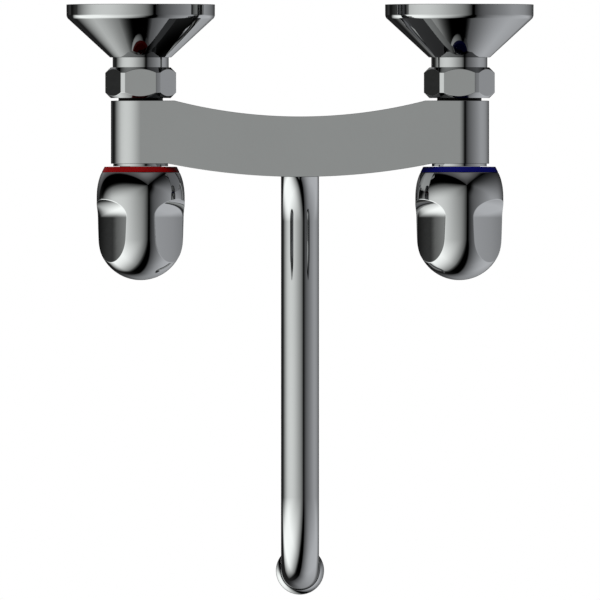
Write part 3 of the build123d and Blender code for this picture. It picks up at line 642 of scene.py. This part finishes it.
def make_tube():
    """The spout's tube: down from the body, along, and down to the outlet, with two bends."""
    outer, inner, bend = 9.0, 7.8, 35.0
    top, first_bend, bottom = -27.53, -31.0, -106.0
    level = first_bend - bend
    last_bend = level - bend
    path, tangents = [], []

    def add(depth, height, along, down):
        path.append((0.0, -depth, height))
        tangents.append((0.0, -along, -down))

    quarter = [(math.cos(a), math.sin(a)) for a in np.radians(np.linspace(0, 90, 73))[1:]]
    for height in np.linspace(top, first_bend, 3):
        add(SPOUT_DEPTH, height, 0, 1)
    for c, s in quarter:
        add(SPOUT_DEPTH + bend * (1 - c), first_bend - bend * s, s, c)
    for depth in np.linspace(SPOUT_DEPTH + bend, OUTLET_DEPTH - bend, 40)[1:]:
        add(depth, level, 1, 0)
    for c, s in quarter:
        add(OUTLET_DEPTH - bend + bend * s, last_bend + bend * c, c, s)
    for height in np.linspace(last_bend, bottom, 3)[1:]:
        add(OUTLET_DEPTH, height, 0, 1)
    angles = full_turn(160)
    side = np.array([1.0, 0, 0])
    rows, dirs = [], []
    # Down the outside and back up the inside
    for radius, sign in ((outer, 1), (inner, -1)):
        for p, t in list(zip(np.array(path), np.array(tangents)))[::sign]:
            radial = np.cos(angles)[:, None] * side + np.sin(angles)[:, None] * np.cross(t, side)
            rows.append(p + radius * radial)
            dirs.append(sign * radial)
    return mesh_from_rows("tube", rows, dirs, closed=True)


def make_tip():
    """The sleeve on the spout's end: a hollow flare that starts beside the tube, with a narrow gap, and
    a side that spreads a little below the flare."""
    seat, gap, mouth, side, bore, water = 9.05, 9.3, 11.28, 11.45, 10.04, 7.8
    flare, flare_centre, flare_height = 3.7, 12.85, -102.0
    seat_top, tube_end, thread_end, spread_end, bottom = -105.6, -106.0, -107.0, -108.0, -113.0
    start, end = (math.degrees(math.acos((flare_centre - r) / flare)) for r in (gap, mouth))
    curve = arc((flare_centre, flare_height), flare, np.radians(np.linspace(180 + start, 180 + end, 33)))
    runs = straight((seat, tube_end), (seat, seat_top), curve[0]) + [curve] + straight(
        curve[-1], (side, spread_end), (side, bottom), (bore, bottom), (bore, thread_end),
        (water, thread_end), (water, tube_end), (seat, tube_end),
    )
    return lathe("tip", upright(OUTLET_DEPTH), runs, [0.1, 0.03, 0.05, 0.4, 0.25, 0.15, 0.05, 0.05, 0.05])


def make_aerator_housing():
    """The aerator's housing: a thread hidden in the tip, a rim with two spanner flats, and an inner lip."""
    axis = upright(OUTLET_DEPTH)
    round_radius, half_flats, thread, inside, mouth = 11.2, 10.3, 10.0, 8.7, 8.0
    bottom, lip, flats_end, seat, top = -117.0, -116.0, -113.5, -113.0, -108.2
    soft, fine = 0.3, 0.02
    corner = math.acos(half_flats / round_radius)
    gap = math.pi / 2 - corner
    flats = [np.linspace(mid - corner, mid + corner, 33) for mid in (math.pi / 2, -math.pi / 2)]
    rounds = [np.linspace(mid - gap, mid + gap, 97)[1:-1] for mid in (0.0, math.pi)]
    angles = np.sort(np.mod(np.concatenate(flats + rounds), 2 * math.pi))
    across = np.sin(angles)
    flat = np.abs(across) * round_radius > half_flats - 1e-6
    rim = np.where(flat, half_flats / np.maximum(np.abs(across), 1e-6), round_radius)
    side_flat = axis.turn(1.0, 0.0, np.where(flat, np.sign(across) * math.pi / 2, angles))
    side = axis.turn(1.0, 0.0, angles)
    up = axis.along * np.ones((len(angles), 1))
    down = -up
    rows, dirs = [], []

    def row(r, h, n):
        rows.append(axis.ring(r, h, angles))
        dirs.append(n)

    # The lip's bore, and the bottom out to the rim
    row(mouth, lip, up)
    row(mouth, lip, -side)
    row(mouth, bottom + 0.2, -side)
    row(mouth + 0.06, bottom + 0.06, unit(down - side))
    row(mouth + 0.2, bottom, down)
    row(rim - soft, bottom, down)
    for a in (math.radians(30), math.radians(60)):
        c, s = math.cos(a), math.sin(a)
        row(rim - soft * (1 - s), bottom + soft * (1 - c), unit(s * side_flat + c * down))
    # The spanner flats, and the round above them
    row(rim, bottom + soft, side_flat)
    row(rim, flats_end - fine, side_flat)
    row(rim, flats_end, down)
    row(round_radius - fine, flats_end, down)
    row(round_radius, flats_end + 0.04, side)
    row(round_radius, seat - fine, side)
    row(round_radius - 0.05, seat, up)
    # The thread, and down its inside to the lip
    row(thread, seat, up)
    row(thread, seat + fine, side)
    row(thread, top, side)
    row(thread - 0.05, top, up)
    row(inside, top, up)
    row(inside, top - fine, -side)
    row(inside, lip + fine, -side)
    row(inside - fine, lip, up)
    return mesh_from_rows("aerator_housing", rows, dirs)


flange, union = make_escutcheon(), make_union()
nut = make_nut(
    "union_nut", VALVE, across_flats=30.0, corner_radius=16.7, face_radius=14.3,
    start=29.6, end=44.1, bore=13.26, floor_bore=10.62, floor=41.4,
)
knob, ring = make_handle(), make_index_ring()
for side_name, x, plate in (("hot", -INLET, "red_plastic"), ("cold", INLET, "blue_plastic")):
    control = f"{side_name}_control"
    for name, mesh, body, material, slot, node in (
        ("flange", flange, "fixed_body", chrome_spun, "chrome", "escutcheon"),
        ("union", union, "fixed_body", chrome_plate, "chrome", "wall_union"),
        ("nut", nut, "fixed_body", chrome_plate, "chrome", "union_nut"),
        ("knob", knob, control, chrome_plate, "chrome", "handle"),
        ("ring", ring, control, MATERIALS[plate], plate, "index_ring"),
    ):
        replaced = f"{side_name}_{node}"
        piece(f"{side_name}_{name}", mesh.copy(), body, material, slot, replaced, location=(x * MM, 0, 0))

shell, *other_meshes = make_body()
piece("body_shell", shell, "fixed_body", chrome_plate, "chrome", "body")
for mesh in other_meshes:
    piece(mesh.name, mesh, "fixed_body", chrome_plate, "chrome")
# The spout nut's places are distances below the middle of the body
spout_hex = make_nut(
    "spout_hex", Axis((0, -SPOUT_DEPTH, 0), (0, 0, -1), (0, 1, 0)),
    across_flats=27.0, corner_radius=15.3, face_radius=13.5,
    start=15.43, end=30.93, bore=12.04, floor_bore=9.15, floor=28.53,
)
piece("spout_hex", spout_hex, "fixed_body", chrome_plate, "chrome", "spout_nut")
piece("spout_pipe", make_tube(), "spout", chrome_plate, "chrome", "spout_tube")
piece("spout_bell", make_tip(), "spout", chrome_plate, "chrome", "spout_tip")
piece("aerator_rim", make_aerator_housing(), "spout", chrome_plate, "chrome", "aerator_housing")


# Studio

def make_world():
    """A soft studio by direction: three tall panels round a slanted pole with dark gaps between them, as the
    metal shows them, an even light for matt surfaces, and white behind the object for the camera."""
    world = bpy.data.worlds.new("studio")
    bpy.context.scene.world = world
    world.use_nodes = True
    tree = Nodes(world.node_tree)
    direction = tree.add("ShaderNodeTexCoord").outputs["Generated"]
    path = tree.add("ShaderNodeLightPath").outputs
    plain = (1.0, 1.0, 1.0)

    def along(axis):
        inputs = {0: direction, 1: tuple(axis)}
        return tree.add("ShaderNodeVectorMath", inputs, operation="DOT_PRODUCT").outputs["Value"]

    # A direction's turn round the pole, and its fall from the pole
    pole = unit(np.array([0.332, 0.332, 0.883]))
    gap = unit(np.cross(np.cross(pole, (0.0, -1.0, 0.35)), pole))
    turn = tree.math("ARCTAN2", along(np.cross(gap, pole)), along(gap))
    fall = tree.math("ARCCOSINE", along(pole))

    def between(low, high, at_low, at_high, smooth=True):
        """A value that changes between two falls, in degrees."""
        return tree.fit(fall, math.radians(low), math.radians(high), at_low, at_high, smooth)

    def line(start, drift, *bends):
        """A turn in degrees that drifts as the fall grows. Each bend adds to the drift from a fall on."""
        place = tree.math("MULTIPLY_ADD", fall, drift, math.radians(start))
        for extra, begin in bends:
            past = tree.math("MAXIMUM", tree.math("SUBTRACT", fall, math.radians(begin)), 0.0)
            place = tree.math("MULTIPLY_ADD", past, extra, place)
        return place

    def glow(colour, strength):
        return tree.add("ShaderNodeBackground", {"Color": (*colour, 1), "Strength": strength}).outputs[0]

    # Metal seen in metal is darker than its tone alone makes it, as in the photograph
    reflections = tree.math("MAXIMUM", tree.math("SUBTRACT", path["Glossy Depth"], 1.0), 0.0)
    again = tree.math("POWER", 0.45, reflections)

    def panel(level, colour, rise, ends, middle, *edges):
        """A panel: its level and colour, its rise from the pole, and the falls between which it ends. Then
        the line of its middle, and for its two edges a line, how the light falls off towards it (power and
        depth), how crisp it is, and the line's bends."""
        centre = line(*middle)
        off = tree.math("WRAP", tree.math("SUBTRACT", turn, centre), math.pi, -math.pi)
        strength = tree.times(between(*ends, level, 0.0, smooth=False), rise, again)
        for start, drift, power, depth, crisp, *bends in edges:
            reach = tree.math("SUBTRACT", line(start, drift, *bends), centre)
            share = tree.math("DIVIDE", off, reach, clamp=True)
            soft = tree.math("EXPONENT", tree.times(tree.math("POWER", share, power), -depth))
            edge = tree.math("MULTIPLY", tree.math("SUBTRACT", 1.0, share), crisp, clamp=True)
            strength = tree.times(strength, soft, tree.math("POWER", edge, 2.0))
        return glow(colour, strength)

    steady = between(0.5, 101, 0.0, 1.0, smooth=False)
    quick = between(0, 30, 0.25, 1.0)
    thinned = between(159, 175, 1.0, 0.12, smooth=False)
    late = tree.times(steady, between(8, 22, 0.0, 1.0), thinned)
    left = panel(
        1.69, (0.972, 1.0, 0.977), steady, (144, 171), (54.5, 1 / 16),
        (-11.3, 0.075, 3.6, 2.85, 7.0, (0.3, 137)),
        (95.8, 0.1, 3.6, 4.1, 6.5, (0.75, 135.5), (-2.6, 146.5)),
    )
    right = panel(
        0.73, (0.945, 0.967, 1.0), late, (123.5, 183.5), (-89, 0.0),
        (-125, -0.07, 1.6, 4.0, 11.5),
        (-13, 0.0, 4.6, 2.35, 16, (0.4, 133)),
    )
    behind = panel(
        0.26, (0.98, 0.985, 1.0), quick, (143.5, 160), (172, 0.0),
        (115.5, 0.06, 2.5, 1.2, 12.0),
        (240, -1 / 8, 2.5, 1.8, 6.0),
    )
    # A trace of light far from the pole, where the panels end
    trace = glow(plain, between(125, 165, 0.0, 0.018))
    light = left
    for more in (right, behind, trace):
        light = tree.add("ShaderNodeAddShader", {0: light, 1: more}).outputs[0]
    # The even light for matt surfaces. One that is seen in the metal gets less for each reflection, as in the
    # photograph.
    slant = tree.fit(along((-0.40, 0.86, 0.30)), -0.7, 0.9, 0.0, 2.3, smooth=False)
    even = glow(plain, tree.times(slant, tree.math("POWER", 0.12, path["Glossy Depth"])))
    # What a matt surface sees by way of the metal stays dark, as in a picture without caustics
    metal = tree.mix(path["Diffuse Depth"], light, glow((0.0, 0.0, 0.0), 0.0))
    matt = tree.mix(path["Is Diffuse Ray"], metal, even)
    shown = tree.mix(path["Is Camera Ray"], matt, glow(plain, 1.0))
    tree.add("ShaderNodeOutputWorld", {"Surface": shown})


def make_floor():
    """A pale floor far below, white to the camera and in the metal, and open when seen from underneath."""
    half, middle_depth, height = 0.3, 0.14, -3.0
    near, far = -half - middle_depth, half - middle_depth
    corners = [(-half, near, height), (half, near, height), (half, far, height), (-half, far, height)]
    mesh = bpy.data.meshes.new("floor")
    mesh.from_pydata(corners, [], [(0, 1, 2, 3)])
    floor = bpy.data.objects.new("floor", mesh)
    bpy.context.scene.collection.objects.link(floor)
    material = bpy.data.materials.new("floor")
    material.use_nodes = True
    tree = Nodes(material.node_tree)
    path = tree.add("ShaderNodeLightPath").outputs
    mirrored = tree.math("MAXIMUM", path["Is Glossy Ray"], path["Is Transmission Ray"])
    seen = tree.math("MAXIMUM", path["Is Camera Ray"], mirrored)
    pale = tree.add("ShaderNodeBsdfDiffuse", {"Color": (0.8, 0.8, 0.8, 1)}).outputs[0]
    white = tree.add("ShaderNodeEmission", {"Color": (1, 1, 1, 1), "Strength": 1.0}).outputs[0]
    below = tree.add("ShaderNodeNewGeometry").outputs["Backfacing"]
    clear = tree.add("ShaderNodeBsdfTransparent").outputs[0]
    both = tree.mix(below, tree.mix(seen, pale, white), clear)
    tree.add("ShaderNodeOutputMaterial", {"Surface": both})
    mesh.materials.append(material)


make_floor()
make_world()

# A very long lens from far above stands in for the photograph's parallel view
camera_data = bpy.data.cameras.new("camera")
camera_data.lens = 1700.0
camera_data.clip_start, camera_data.clip_end = 0.1, 20.0
camera = bpy.data.objects.new("camera", camera_data)
camera.location = (0.0, -0.13913, 13.34)
bpy.context.scene.collection.objects.link(camera)
bpy.context.scene.camera = camera
bpy.context.scene.view_settings.view_transform = "Standard"
